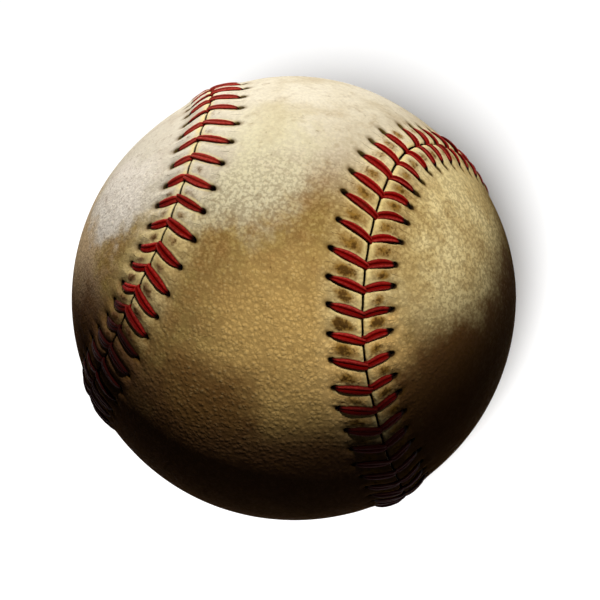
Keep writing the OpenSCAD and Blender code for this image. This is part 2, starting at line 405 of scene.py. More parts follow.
def new_mesh(name, corners, quads, tris=np.zeros((0, 3), dtype=int)):
    """A smooth mesh from its corners in mm, its quads and its triangles."""
    mesh = bpy.data.meshes.new(name)
    mesh.vertices.add(len(corners))
    mesh.vertices.foreach_set("co", (corners * MM).astype(np.float32).ravel())
    loops = np.concatenate([quads.ravel(), tris.ravel()]).astype(np.int32)
    quad_starts = np.arange(0, quads.size, quads.shape[1])
    tri_starts = quads.size + np.arange(0, tris.size, tris.shape[1])
    starts = np.concatenate([quad_starts, tri_starts]).astype(np.int32)
    mesh.loops.add(len(loops))
    mesh.loops.foreach_set("vertex_index", loops)
    mesh.polygons.add(len(starts))
    mesh.polygons.foreach_set("loop_start", starts)
    mesh.update(calc_edges=True)
    mesh.validate()
    mesh.polygons.foreach_set("use_smooth", np.ones(len(mesh.polygons), dtype=bool))
    obj = bpy.data.objects.new(name, mesh)
    bpy.context.scene.collection.objects.link(obj)
    return obj


def point_values(obj, fields):
    """Gives the mesh a number at each corner for each field, from the parts of that field."""
    for key, parts in fields.items():
        attribute = obj.data.attributes.new(key, "FLOAT", "POINT")
        attribute.data.foreach_set("value", np.concatenate(parts).astype(np.float32))


# Mesh of a panel beside the seam: the wall of the open seam, the rounded lip, then the top
UNDERSIDE_R = CEMENT_R + 0.05
WALL_R = (UNDERSIDE_R, BALL_R - 0.75, BALL_R - 0.25)
WALL_STEP = 0.05
LIP_DEG = (0, 25, 45, 62, 76, 90)
TOP_MM = np.concatenate([np.arange(0.75, 6.95, 0.15), [7.2, 7.5, 7.9, 8.4, 9.0]])
TOP_ARC_N = 72
UNDERSIDE_ARC_N = 16
# Values of the fields away from the stitches
AWAY = {"edge_mm": 9.0, "hole_u": 9.0, "hole_v": 9.0, "smudge": 0.0}


def build_panel(name, side):
    """One leather panel: the band beside the seam, then the top and the underside, each from arcs."""
    rows = PER_STITCH * STITCHES
    half = rows // 2
    start = -LENGTH / 4 if side > 0 else 0.0
    s = start + LENGTH * np.arange(rows) / rows
    lip = GAP / 2 + LIP_R * (1 - np.cos(np.radians(LIP_DEG)))
    d = np.concatenate([lip, TOP_MM])
    wall_n = len(WALL_R)
    cols = wall_n + len(d)
    S, D = np.meshgrid(s, d, indexing="ij")
    P = beside(S, side * D)
    H, among = leather_height(S, D, side, P)
    top = P * (BALL_R + H)[..., None]
    wall_dir = beside(s, side * np.full_like(s, GAP / 2))
    edge_r = np.linalg.norm(top[:, 0], axis=1)
    most_r = [edge_r - WALL_STEP * (wall_n - i) for i in range(wall_n)]
    walls = [wall_dir * np.minimum(r, most)[:, None] for r, most in zip(WALL_R, most_r)]
    corners = [np.concatenate([np.stack(walls, axis=1), top], axis=1).reshape(-1, 3)]
    fields = {"seam_mm": [np.hstack([np.zeros((rows, wall_n)), D]).ravel()]}
    for key, field in among.items():
        fields[key] = [np.hstack([np.repeat(field[:, :1], wall_n, axis=1), field]).ravel()]
    index = np.arange(rows * cols).reshape(rows, cols)
    ahead = np.roll(index, -1, axis=0)
    quads = [np.stack([index[:, :-1], ahead[:, :-1], ahead[:, 1:], index[:, 1:]], axis=-1).reshape(-1, 4)]
    tris = []

    def across_panel(ends, arc_n, column, radius, is_top):
        """Arcs across the panel between the two halves of its outline."""
        inner = np.arange(1, half)
        p0, p1 = ends[inner], ends[rows - inner]
        w = np.linspace(0, 1, arc_n + 1)[1:-1][None, :, None]
        angle = np.arccos(np.clip((p0 * p1).sum(-1), -1, 1))[:, None, None]
        arc = unit((np.sin((1 - w) * angle) * p0[:, None] + np.sin(w * angle) * p1[:, None]) / np.sin(angle))
        inside = d[-1] + (np.minimum(w, 1 - w) * angle)[..., 0] * BALL_R
        grid = np.zeros((half + 1, arc_n + 1), dtype=int)
        grid[1:half, 1:-1] = sum(map(len, corners)) + np.arange(inside.size).reshape(half - 1, arc_n - 1)
        grid[:, 0] = index[np.arange(half + 1), column]
        grid[:, -1] = index[(rows - np.arange(half + 1)) % rows, column]
        corners.append((arc * radius(arc, inside)[..., None]).reshape(-1, 3))
        fields["seam_mm"].append(inside.ravel() if is_top else np.zeros(inside.size))
        for key, value in AWAY.items():
            fields[key].append(np.full(inside.size, value))
        body = grid[1:half]
        quad = np.stack([body[:-1, :-1], body[1:, :-1], body[1:, 1:], body[:-1, 1:]], axis=-1).reshape(-1, 4)
        first = np.stack([np.full(arc_n, grid[0, 0]), grid[1][:-1], grid[1][1:]], axis=-1)
        last = np.stack([np.full(arc_n, grid[half, 0]), grid[half - 1][1:], grid[half - 1][:-1]], axis=-1)
        tri = np.concatenate([first, last])
        quads.append(quad if is_top else quad[:, ::-1])
        tris.append(tri if is_top else tri[:, ::-1])

    across_panel(P[:, -1], TOP_ARC_N, -1, lambda arc, inside: BALL_R + unevenness(arc) + welt(inside), True)
    across_panel(wall_dir, UNDERSIDE_ARC_N, 0, lambda arc, inside: np.full(inside.shape, UNDERSIDE_R), False)
    quads, tris = np.concatenate(quads), np.concatenate(tris)
    if side < 0:
        quads, tris = quads[:, ::-1], tris[:, ::-1]
    obj = new_mesh(name, np.concatenate(corners), quads, tris)
    point_values(obj, fields)
    return obj


# The thread. Each leg is two strands side by side.
RINGS = 30
SIDES = 14
CURVE_N = 24             # points between two points of a path
HANDED_AT = 8            # a ring well inside the leg
FLAT_LEG_SHARE = 0.35    # height that a leg keeps where the ridge is gone
STRAND_APART_SHARE = 0.48
STRAND_WIDE_SHARE = 0.54
STRAND_HIGH_SHARE = 0.38
STRAND_HIGH_MOST = 0.26
STRAND_HIGH_MORE = 0.02
PLY_DEPTH_SHARE = 0.035  # the plies of a strand make grooves that run round it
PLY_TURN = 2.6           # radians for each mm
OUTER_SHADE = 0.40
OUTER_SHARPNESS = 4
# A painted highlight along the top of each strand, stronger on one of the two
HIGHLIGHT_LEAN = 0.5
HIGHLIGHT_SHARPNESS = 9
HIGHLIGHT_SHARES = {-1: 1.0, 1: 0.45}
DARK_END_SHARES = {1: 1.0, -1: 1.09}   # the legs of side -1 turn dark a little earlier
FIBRES_APART = 0.5       # shift of the fibres from the middle of a leg to each strand
NEXT_FIBRES = 0.37       # and from leg to leg
# Middle line of a leg: how far along from the seam (0) to its hole (1), and height above the ball
PATHS = {
    1: [(-0.085, -0.75), (-0.075, -0.15), (-0.045, 0.38), (0.04, 0.62), (0.19, 0.65), (0.40, 0.55),
        (0.60, 0.39), (0.77, 0.21), (0.89, 0.02), (0.96, -0.30), (1.00, -0.95)],
    -1: [(0.05, -0.75), (0.045, -0.25), (0.055, 0.22), (0.11, 0.50), (0.24, 0.57), (0.43, 0.51),
         (0.62, 0.37), (0.78, 0.21), (0.89, 0.02), (0.96, -0.30), (1.00, -0.95)],
}


def spline(points, n):
    """A Catmull-Rom curve through the points, as n places at even distances, and the distance run at each."""
    p = np.asarray(points, dtype=float)
    p = np.vstack([2 * p[0] - p[1], p, 2 * p[-1] - p[-2]])
    f = np.linspace(0, 1, CURVE_N, endpoint=False)[:, None]
    line = []
    for a, b, c, d in zip(p, p[1:], p[2:], p[3:]):
        bent = (2 * a - 5 * b + 4 * c - d) * f ** 2 + (3 * b - a - 3 * c + d) * f ** 3
        line.append(0.5 * (2 * b + (c - a) * f + bent))
    line = np.vstack(line + [p[-2:-1]])
    length = arc_lengths(line)
    run = np.linspace(0, length[-1], n)
    return np.stack([np.interp(run, length, column) for column in line.T], axis=1), run


def leg_line(k, side):
    """Middle line of a leg, with the directions along it, across it and out of it, and its half-width."""
    j = SEWN[side]
    inset, lead = j["inset"][k], j["lead"][k]
    length = math.hypot(inset, lead)
    visible = length * j["reach"][k]
    path, run = spline([(a * visible, h) for a, h in PATHS[side]], RINGS)
    share = run / run[-1]
    along = path[:, 0] / visible
    lowered = FLAT_LEG_SHARE + (1 - FLAT_LEG_SHARE) * RIDGE(j["foot"][k] / PITCH)
    h = path[:, 1] * np.where(path[:, 1] > 0, lowered, 1) + j["lift"][k] * np.sin(math.pi * share)
    bow = j["bow"][k] * np.sin(math.pi * np.clip(along, 0, 1))
    d = (path[:, 0] * inset - bow * lead) / length
    s = j["foot"][k] + (path[:, 0] * lead + bow * inset) / length
    centre_dir = beside(s, side * d)
    centre = centre_dir * (BALL_R + h + unevenness(centre_dir))[:, None]
    tangent = unit(np.gradient(centre, axis=0))
    c, go, to_a = seam_frame(s)
    across = unit(np.cross(c, unit(go * lead / inset + to_a * side)))
    across = unit(across - tangent * (across * tangent).sum(-1, keepdims=True))
    outward = np.cross(tangent, across)
    outward *= np.sign((outward * c).sum(-1).mean())
    phi = (j["twist"][k][0] + j["twist"][k][1] * (share - 0.5) * 2)[:, None]
    wide = across * np.cos(phi) + outward * np.sin(phi)
    high = outward * np.cos(phi) - across * np.sin(phi)
    half = np.interp(along, LEG_SHARES, LEG_HALF[side]) * j["fat"][k]
    return centre, tangent, wide, high, half, along, run


def build_thread(name, which):
    """One red thread, which changes sides from stitch to stitch."""
    corners, faces, strand_uv = [], [], []
    fields = {"tone": [], "along": [], "crease": [], "highlight_streak": []}
    ring = np.arange(SIDES) * 2 * math.pi / SIDES
    for k in range(STITCHES):
        side = 1 if (k + which) % 2 == 0 else -1
        j = SEWN[side]
        centre, tangent, wide, high, half, along, run = leg_line(k, side)
        strand_high = np.minimum(half * STRAND_HIGH_SHARE, STRAND_HIGH_MOST) + STRAND_HIGH_MORE
        for row in (-1, 1):
            turns = ring[None, :] + row * run[:, None] * PLY_TURN
            grooved = 1 - PLY_DEPTH_SHARE * (0.5 + 0.5 * np.cos(2 * turns))
            middle = centre + wide * (row * half * STRAND_APART_SHARE)[:, None]
            x = np.cos(ring)[None, :, None] * ((half * STRAND_WIDE_SHARE)[:, None] * grooved)[..., None]
            y = np.sin(ring)[None, :, None] * (strand_high[:, None] * grooved)[..., None]
            corners.append((middle[:, None] + x * wide[:, None] + y * high[:, None]).reshape(-1, 3))
            # the shade between the two strands, along the leather and on the outer side
            between = np.clip(-row * np.cos(ring), 0, 1) ** 2
            below = np.clip(-np.sin(ring), 0, 1)
            outer = np.clip(row * np.cos(ring), 0, 1) ** OUTER_SHARPNESS
            shade = np.clip(between * j["split"][k] + below + outer * OUTER_SHADE, 0, 1)
            highlight_streak = np.clip(np.sin(ring + HIGHLIGHT_LEAN * row), 0, 1) ** HIGHLIGHT_SHARPNESS * HIGHLIGHT_SHARES[row]
            fields["crease"].append(np.tile(shade, RINGS))
            fields["highlight_streak"].append(np.tile(highlight_streak, RINGS))
            fields["tone"].append(np.full(RINGS * SIDES, j["tone"][k]))
            fields["along"].append(np.repeat(along * DARK_END_SHARES[side], SIDES))
            index = len(faces) * RINGS * SIDES + np.arange(RINGS * SIDES).reshape(RINGS, SIDES)
            beyond = np.roll(index, -1, axis=1)
            quad = np.stack([index[:-1], beyond[:-1], beyond[1:], index[1:]], axis=-1).reshape(-1, 4)
            handed = np.cross(wide[HANDED_AT], high[HANDED_AT]) @ tangent[HANDED_AT]
            faces.append(quad if handed > 0 else quad[:, ::-1])
            u = np.tile(ring / (2 * math.pi), RINGS)
            v = np.repeat(run, SIDES) + row * FIBRES_APART + k * NEXT_FIBRES
            strand_uv.append(np.stack([u, v, np.zeros(len(u))], axis=-1))
    obj = new_mesh(name, np.concatenate(corners), np.concatenate(faces))
    point_values(obj, fields)
    attribute = obj.data.attributes.new("strand", "FLOAT_VECTOR", "POINT")
    attribute.data.foreach_set("vector", np.concatenate(strand_uv).astype(np.float32).ravel())
    return obj


def srgb(r, g, b):
    """A colour for a socket from the values that a screen shows."""
    def lin(c):
        return c / 12.92 if c <= 0.04045 else ((c + 0.055) / 1.055) ** 2.4
    return (lin(r), lin(g), lin(b), 1.0)


class Nodes:
    """Short names for the shader nodes of one tree."""

    def __init__(self, tree):
        self.tree = tree

    def put(self, socket, value):
        if isinstance(value, bpy.types.NodeSocket):
            self.tree.links.new(value, socket)
        else:
            socket.default_value = value

    def add(self, kind, values=(), **settings):
        """A node with its settings, and a number, a colour or a link for each input that is named."""
        node = self.tree.nodes.new("ShaderNode" + kind)
        for key, value in settings.items():
            setattr(node, key, value)
        for key, value in dict(values).items():
            self.put(node.inputs[key], value)
        return node

    @cached_property
    def coords(self):
        return self.add("TexCoord").outputs["Object"]

    @cached_property
    def outward(self):
        """Direction of a place from the middle of the ball."""
        return self.add("VectorMath", {0: self.coords}, operation="NORMALIZE").outputs[0]

    def attribute(self, name, output="Fac"):
        return self.add("Attribute", attribute_name=name).outputs[output]

    def math(self, op, *values):
        return self.add("Math", enumerate(values), operation=op).outputs[0]

    def times(self, first, *others):
        for other in others:
            first = self.math("MULTIPLY", first, other)
        return first

    def plus(self, first, share, base):
        """The base and a share of the first value."""
        return self.math("MULTIPLY_ADD", first, share, base)

    def centred(self, noise):
        return self.math("SUBTRACT", noise, 0.5)

    def ramp(self, value, lo, hi, at_lo=0.0, at_hi=1.0):
        """A smooth change from at_lo to at_hi while the value goes from lo to hi."""
        values = {"Value": value, "From Min": lo, "From Max": hi, "To Min": at_lo, "To Max": at_hi}
        return self.add("MapRange", values, interpolation_type="SMOOTHSTEP").outputs["Result"]

    def level(self, zone, outside, inside):
        """One value outside a zone and another in it."""
        return self.ramp(zone, 0, 1, outside, inside)

    def over(self, colour, cover, *shares):
        """The colour with a cover laid over it, as far as the product of the shares."""
        values = {0: self.times(*shares), 6: colour, 7: cover}
        return self.add("Mix", values, data_type="RGBA").outputs[2]

    def layers(self, colour, covers):
        """The colour with covers laid over it in turn, each followed by its shares."""
        for cover, *shares in covers:
            colour = self.over(colour, cover, *shares)
        return colour

    def noise(self, scale, detail, rough, distortion=0.0):
        values = {"Vector": self.coords, "Scale": scale, "Detail": detail, "Roughness": rough,
                  "Distortion": distortion}
        return self.add("TexNoise", values).outputs["Fac"]

    def cells(self, scale, coords, feature="F1"):
        values = {"Vector": coords, "Scale": scale}
        return self.add("TexVoronoi", values, feature=feature).outputs["Distance"]

    def mapped(self, coords, scale, rotation):
        return self.add("Mapping", {"Vector": coords, "Scale": scale, "Rotation": rotation}).outputs[0]

    def bump(self, height, distance, strength, under=None):
        """A normal with the height on it, over the bumps that are under it."""
        node = self.add("Bump", {"Height": height, "Distance": distance, "Strength": strength})
        if under is not None:
            self.put(node.inputs["Normal"], under)
        return node.outputs[0]

    def facing(self, middle, start, full, ragged, by):
        """How far a place lies in a zone round a direction of the photograph, with a ragged border."""
        values = {0: self.outward, 1: tuple(unit(seen_from(*middle)))}
        dot = self.add("VectorMath", values, operation="DOT_PRODUCT").outputs["Value"]
        return self.ramp(self.plus(self.centred(by), ragged, dot), start, full)


def new_material(name):
    """An empty material and its nodes."""
    material = bpy.data.materials.new(name)
    material.use_nodes = True
    material.node_tree.nodes.clear()
    return material, Nodes(material.node_tree)


def finish(g, colour, roughness, specular, normal):
    values = {"Base Color": colour, "Roughness": roughness, "Specular IOR Level": specular, "Normal": normal}
    g.add("OutputMaterial", {"Surface": g.add("BsdfPrincipled", values).outputs[0]})


# Noises of the leather: scale, detail and roughness
LEATHER_NOISES = {
    "broad": (34, 4, 0.55), "patchy": (120, 6, 0.65), "hue": (300, 4, 0.6), "fine": (560, 5, 0.65),
    "specks": (1500, 3, 0.7), "stipple": (1700, 3, 0.6), "grit": (2600, 2, 0.6),
}
# Zones of the leather: middle as seen in the photograph, the cosines from it where the zone starts and is
# full, how ragged its border is, and its colour where it has one
ZONES = {
    "lower_middle": ((0.03, -0.31, 0.95), 0.84, 0.985, 0.25, srgb(0.87, 0.715, 0.43)),
    "left_edge": ((-0.97, 0.15, 0.20), 0.84, 0.97, 0.40, srgb(0.85, 0.73, 0.57)),
    "right_panel": ((0.68, 0.28, 0.68), 0.82, 0.97, 0.25, None),
    # The lower left, where the painted shade lies
    "painted_shade": ((-0.86, -0.42, 0.29), 0.70, 0.88, 0.25, None),
    "handled": ((0.33, 0.30, 0.895), 0.94, 0.99, 0.15, srgb(0.72, 0.60, 0.34)),
    # Painted shade below the middle, towards the left
    "lower_left_shade": ((-0.38, -0.50, 0.78), 0.94, 0.99, 0.10, srgb(0.52, 0.38, 0.21)),
    "lower_pale": ((0.28, -0.32, 0.905), 0.962, 0.99, 0.10, srgb(0.97, 0.80, 0.50)),
    # Painted shade: darker towards the bottom, the lower left, the lower right and the right edge
    "bottom": ((0, -1, 0), 0.45, 0.66, 0.15, srgb(0.50, 0.36, 0.24)),
    "lower_left": ((-0.86, -0.42, 0.29), 0.77, 0.94, 0.25, srgb(0.41, 0.29, 0.20)),
    "left_corner": ((-0.90, -0.36, 0.25), 0.93, 0.985, 0.10, srgb(0.26, 0.16, 0.11)),
    "lower_right": ((0.70, -0.46, 0.54), 0.87, 0.96, 0.25, srgb(0.46, 0.32, 0.19)),
    "right_edge": ((0.97, -0.15, 0.20), 0.86, 0.97, 0.25, srgb(0.48, 0.36, 0.25)),
    # From here to the next three zones: cream towards the top and the upper left, clean leather with a
    # painted sheen on it
    "top": ((-0.15, 0.95, 0.25), 0.50, 0.86, 0.25, None),
    "clean_sheen_middle": ((-0.22, 0.56, 0.80), 0.91, 1.005, 0.25, srgb(0.88, 0.84, 0.70)),
    "upper_left": ((-0.60, 0.62, 0.50), 0.87, 0.98, 0.25, srgb(0.88, 0.84, 0.76)),
    "clean_sheen_left": ((-0.75, 0.42, 0.51), 0.965, 0.995, 0.10, srgb(0.96, 0.92, 0.86)),
    "specks": ((-0.85, 0.30, 0.43), 0.80, 0.97, 0.25, srgb(0.50, 0.38, 0.28)),
    "smoother": ((-0.80, 0.38, 0.46), 0.78, 0.95, 0.25, None),
    "raised": ((0.0, -0.40, 0.92), 0.66, 0.95, 0.25, None),
    # Towards the top: wear, with less furrow dirt and flatter grain, and a paler hole shade, which is painted
    # light
    "worn_and_lit": ((0, 1, 0), 0.30, 0.75, 0.25, None),
    "leftward": ((-1, 0, 0.2), 0.35, 0.80, 0.25, None),
}
# Two shades that a noise changes between: the noise, the values where it starts and is full, and the shades
TAN = ("broad", 0.36, 0.62, srgb(0.66, 0.535, 0.315), srgb(0.60, 0.48, 0.265))
PALE = ("patchy", 0.38, 0.62, srgb(0.94, 0.86, 0.63), srgb(0.87, 0.77, 0.53))
# The cream of the top: clean leather with a painted sheen
CLEAN_AND_SHEEN = ("patchy", 0.35, 0.65, srgb(0.90, 0.86, 0.77), srgb(0.84, 0.79, 0.68))
# Stains: the noise, the values where they start and are full, their strength and their colour
TAN_STAINS = (("hue", 0.50, 0.66, 0.40, srgb(0.67, 0.50, 0.29)),
              ("hue", 0.50, 0.36, 0.40, srgb(0.74, 0.64, 0.37)))
BROWN_STAINS = (("patchy", 0.50, 0.72, 0.22, srgb(0.58, 0.42, 0.22)),
                ("fine", 0.52, 0.70, 0.20, srgb(0.52, 0.38, 0.19)))
SPECK_RANGE = (0.56, 0.66)
SPECK_STRENGTH = 0.40
# Colours of the marks on the leather
MARKS = {
    "handled_by_seam": srgb(0.67, 0.52, 0.28), "furrow": srgb(0.40, 0.27, 0.10),
    # The two colours on the next line are painted highlights, on the tops of the grain and beside the seam
    # and the legs
    "tip_highlight": srgb(0.93, 0.83, 0.60), "rim": srgb(0.96, 0.87, 0.60),
    "smudge": srgb(0.58, 0.42, 0.15), "left_smudge": srgb(0.50, 0.36, 0.25),
    # The second colour on the next line, along the legs, is dirt and painted contact shadow
    "smudge_core": srgb(0.31, 0.20, 0.08), "leg_dirt_and_shadow": srgb(0.24, 0.13, 0.05),
    # open_seam and the mouth and hole colours below are painted shade in the gaps, the second of each paler
    # towards the top as painted light
    "hole_stain": srgb(0.40, 0.28, 0.09), "open_seam": srgb(0.10, 0.07, 0.045),
    "mouth": srgb(0.17, 0.11, 0.05), "lit_mouth": srgb(0.34, 0.27, 0.12),
    "hole": srgb(0.06, 0.04, 0.025), "lit_hole": srgb(0.15, 0.11, 0.05),
}
# Where marks start and are full: mm from the seam, and mm outside the nearest leg
PALE_BY_SEAM = (8.0, 3.5)
HANDLED_BY_SEAM = (6.5, 4.0)
CALM_BY_SEAM = (7.0, 4.0)
# The cream rim of painted highlight beside the seam
RIM_HIGHLIGHT_BY_SEAM = (1.3, 0.3)
OPEN_SEAM = (0.22, 0.13)
# The cream rim of painted highlight beside the legs
RIM_HIGHLIGHT_BY_LEG = (0.55, 0.15)
# The dark line along the legs, before the holes: dirt and painted contact shadow
DIRT_AND_SHADOW_BY_LEG = (0.14, -0.08)
DIRT_AND_SHADOW_BEFORE_HOLE = (6.0, 5.2)
# Marks round a hole: half-length and half-width in mm, then the shares of these where it starts and is full
HOLE_BACK = 0.05
HOLE_STAIN = ((1.25, 0.85), (1.1, 0.4, 0.0, 0.65))
HOLE_MOUTH = ((0.66, 0.46), (1.15, 0.75))
HOLE_INSIDE = ((0.46, 0.33), (1.1, 0.7))
# Grain. Its two noises have a distortion too, and PEBBLE_WARP is how far the pebbles are moved, in m.
PEBBLE_SCALE = 1350
PEBBLE_WARP_SCALE = 1300
PEBBLE_WARP = 0.0006
PEBBLE_SHARE = 0.30
SWELL_NOISE = (2450, 3, 0.6, 0.3)
VEIN_NOISE = (1000, 3, 0.6, 1.0)
VEIN_SHARE = 0.55
LEATHER_SPECULAR = 0.0008
# Bumps of the leather: depth in m and strength
GRAIN_BUMP = (0.00013, 1.0)
DENT_BUMP = (0.0005, 0.22)
WRINKLE_BUMP = (0.00030, 0.4)
GRIT_BUMP = (0.00004, 0.25)
RAISED_PEBBLE_SHARE = 0.50


def ground_colour(g, seam, noise, zone):
    """Yellow-brown where it is handled, cream where it is clean and a sheen is painted towards the top, brown
    where dirt has gone in, and painted shade towards the bottom and the sides.
    """
    def shades(name, lo, hi, first, second):
        return g.over(first, second, g.ramp(noise[name], lo, hi))

    def stains(rows):
        return [(colour, g.ramp(noise[name], lo, hi), strength) for name, lo, hi, strength, colour in rows]

    def tints(*names):
        return [(ZONES[name][-1], zone[name]) for name in names]

    pale = shades(*PALE)
    return g.layers(shades(*TAN), [
        *stains(TAN_STAINS),
        *tints("lower_middle", "left_edge"),
        (pale, zone["right_panel"]),
        # Pale beside the seam, but not in the painted shade of the lower left
        (pale, g.ramp(seam, *PALE_BY_SEAM), g.level(zone["painted_shade"], 0.6, 0.0)),
        (ZONES["handled"][-1], zone["handled"], 0.4),
        (MARKS["handled_by_seam"], zone["handled"], g.ramp(seam, *HANDLED_BY_SEAM, 0.0, 0.5)),
        # All these but lower_pale are painted shade, darker towards the bottom, the lower left and the right
        *tints("lower_left_shade", "lower_pale", "bottom", "lower_left", "left_corner", "lower_right", "right_edge"),
        # Cream towards the top and the upper left: clean, with a painted sheen
        (shades(*CLEAN_AND_SHEEN), zone["top"]),
        *tints("clean_sheen_middle", "upper_left", "clean_sheen_left"),
        *stains(BROWN_STAINS),
        (ZONES["specks"][-1], g.ramp(noise["specks"], *SPECK_RANGE), zone["specks"], SPECK_STRENGTH),
    ])


def leather_grain(g):
    """Soft pebbles with short furrows between them: the pebbles, their borders and the whole grain."""
    wobble = g.add("TexNoise", {"Vector": g.coords, "Scale": PEBBLE_WARP_SCALE, "Detail": 2}).outputs["Color"]
    values = {0: wobble, 1: (PEBBLE_WARP, PEBBLE_WARP, PEBBLE_WARP), 2: g.coords}
    warped = g.add("VectorMath", values, operation="MULTIPLY_ADD").outputs[0]
    pebble = g.ramp(g.cells(PEBBLE_SCALE, warped), 0.78, 0.02)
    border = g.ramp(g.cells(PEBBLE_SCALE, warped, "DISTANCE_TO_EDGE"), 0.14, 0.03)
    return pebble, border, g.plus(pebble, PEBBLE_SHARE, g.noise(*SWELL_NOISE))


def grain_dirt(g, border, grain, patchy, zone):
    """Dirt in the furrows, in a few veins and, where the pebbles are raised, in the borders between them."""
    vein = g.math("ABSOLUTE", g.centred(g.noise(*VEIN_NOISE)))
    vein = g.times(g.ramp(vein, 0.040, 0.004), g.ramp(patchy, 0.40, 0.60), VEIN_SHARE)
    fine_dirt = g.times(g.math("MAXIMUM", g.ramp(grain, 0.70, 0.48), vein), g.level(zone["raised"], 1, 0.6))
    dirt = g.math("MAXIMUM", fine_dirt, g.times(border, g.level(zone["raised"], 0, 0.75)))
    return g.times(dirt, g.level(zone["worn_and_lit"], 0.45, 0.10), g.level(zone["smoother"], 1, 0.45))


def seam_marks(g, at, noise, zone, unshaded_share):
    """Cream rims of painted highlight, golden-brown smudges with darker, stippled cores, and dirt with
    painted contact shadow along the legs.
    """
    seam, edge, fine = at["seam_mm"], at["edge_mm"], noise["fine"]
    cloud = g.plus(g.centred(fine), 0.9, at["smudge"])
    core = g.plus(g.centred(noise["stipple"]), 2.0, cloud)
    smudge = g.over(MARKS["smudge"], MARKS["left_smudge"], zone["leftward"])
    return [
        (MARKS["rim"], g.ramp(seam, *RIM_HIGHLIGHT_BY_SEAM), g.ramp(fine, 0.34, 0.56, 0.35, 1.0), unshaded_share, 0.75),
        (MARKS["rim"], g.ramp(edge, *RIM_HIGHLIGHT_BY_LEG), g.ramp(fine, 0.34, 0.56, 0.25, 1.0), unshaded_share, 0.60),
        (smudge, g.ramp(cloud, 0.08, 0.55, 0.0, 0.88)),
        (MARKS["smudge_core"], g.ramp(core, 0.28, 0.78, 0.0, 0.85)),
        (MARKS["leg_dirt_and_shadow"], g.ramp(edge, *DIRT_AND_SHADOW_BY_LEG), g.ramp(seam, *DIRT_AND_SHADOW_BEFORE_HOLE), 0.75),
    ]


def hole_marks(g, at, fine, worn_and_lit):
    """Brown stains round the holes, and painted shade in them and in the open seam: black, paler towards the
    top.
    """
    ragged = g.times(g.centred(fine), 0.6)

    def within(oval, shares):
        """How far a place is inside an oval round its hole, with a ragged border."""
        half_long, half_wide = oval
        a = g.math("DIVIDE", g.math("ADD", at["hole_u"], HOLE_BACK), half_long)
        b = g.math("DIVIDE", at["hole_v"], half_wide)
        away = g.math("SQRT", g.math("ADD", g.times(a, a), g.times(b, b)))
        return g.ramp(g.math("ADD", away, ragged), *shares)

    return [
        (MARKS["hole_stain"], within(*HOLE_STAIN)),
        (g.over(MARKS["mouth"], MARKS["lit_mouth"], worn_and_lit), within(*HOLE_MOUTH)),
        (g.over(MARKS["hole"], MARKS["lit_hole"], worn_and_lit), within(*HOLE_INSIDE)),
        (MARKS["open_seam"], g.ramp(at["seam_mm"], *OPEN_SEAM)),
    ]


def leather_material():
    material, g = new_material("old_leather")
    at = {name: g.attribute(name) for name in ("seam_mm", "edge_mm", "hole_u", "hole_v", "smudge")}
    noise = {name: g.noise(*row) for name, row in LEATHER_NOISES.items()}
    zone = {name: g.facing(*row[:-1], noise["patchy"]) for name, row in ZONES.items()}
    pebble, border, grain = leather_grain(g)
    # Where the leather has painted shade, and the share outside it, which alone gets the painted highlights
    shade_zones = g.math("MAXIMUM", g.math("MAXIMUM", zone["bottom"], zone["lower_right"]), zone["painted_shade"])
    unshaded_share = g.math("SUBTRACT", 1.0, shade_zones)
    colour = g.layers(ground_colour(g, at["seam_mm"], noise, zone), [
        (MARKS["furrow"], grain_dirt(g, border, grain, noise["patchy"], zone)),
        # Painted highlight on the tops of the grain, none in the painted shade
        (MARKS["tip_highlight"], g.ramp(grain, 0.72, 0.92), g.level(zone["worn_and_lit"], 0.22, 0.12), unshaded_share),
        *seam_marks(g, at, noise, zone, unshaded_share),
        *hole_marks(g, at, noise["fine"], zone["worn_and_lit"]),
    ])
    height = g.times(grain, g.level(zone["worn_and_lit"], 0.75, 0.30), g.level(zone["raised"], 1, 0.6))
    raised = g.times(pebble, zone["raised"])
    calm = g.ramp(at["seam_mm"], *CALM_BY_SEAM, 1.0, 0.3)
    normal = g.bump(g.plus(raised, RAISED_PEBBLE_SHARE, height), *GRAIN_BUMP)
    normal = g.bump(g.times(noise["hue"], calm), *DENT_BUMP, normal)
    normal = g.bump(g.times(noise["fine"], calm), *WRINKLE_BUMP, normal)
    normal = g.bump(noise["grit"], *GRIT_BUMP, normal)
    finish(g, colour, g.ramp(grain, 0.4, 1.0, 0.72, 0.50), LEATHER_SPECULAR, normal)
    return material


# Colours of the thread
THREAD_SHADES = (srgb(0.55, 0.025, 0.012), srgb(0.45, 0.02, 0.01))
THREAD_GROOVE = srgb(0.33, 0.025, 0.015)
# The colour of the painted highlight on the strands
THREAD_HIGHLIGHT = srgb(0.86, 0.32, 0.28)
# The painted shade between, under and beside the strands
THREAD_CREASE_SHADE = srgb(0.14, 0.015, 0.01)
# The painted shade where a leg goes down into its hole
THREAD_END_SHADE = srgb(0.06, 0.02, 0.012)
THREAD_DIRT = srgb(0.30, 0.13, 0.07)
# A paler red towards the top, which is painted light
PAINTED_LIGHT_RED = srgb(0.60, 0.19, 0.14)
# Zones of the thread, as those of the leather
PAINTED_LIGHT_ZONE = ((-0.25, 0.92, 0.30), 0.60, 0.97, 0.2)
# Painted shade: a darker red towards the lower left and the bottom
SHADED_THREADS = (
    ((-0.90, -0.33, 0.28), 0.785, 0.875, 0.1, srgb(0.17, 0.045, 0.035)),
    ((0.25, -0.90, 0.35), 0.68, 0.86, 0.1, srgb(0.20, 0.05, 0.04)),
)
THREAD_SPECULAR = 0.012
# Fibres are long along the strand and lean a little
FIBRE_STRETCH = (9, 1.1, 1)
FIBRE_LEAN = (0, 0, 0.5)
FIBRE_SCALE = 2.2
FIBRE_BUMP = (0.00012, 0.6)


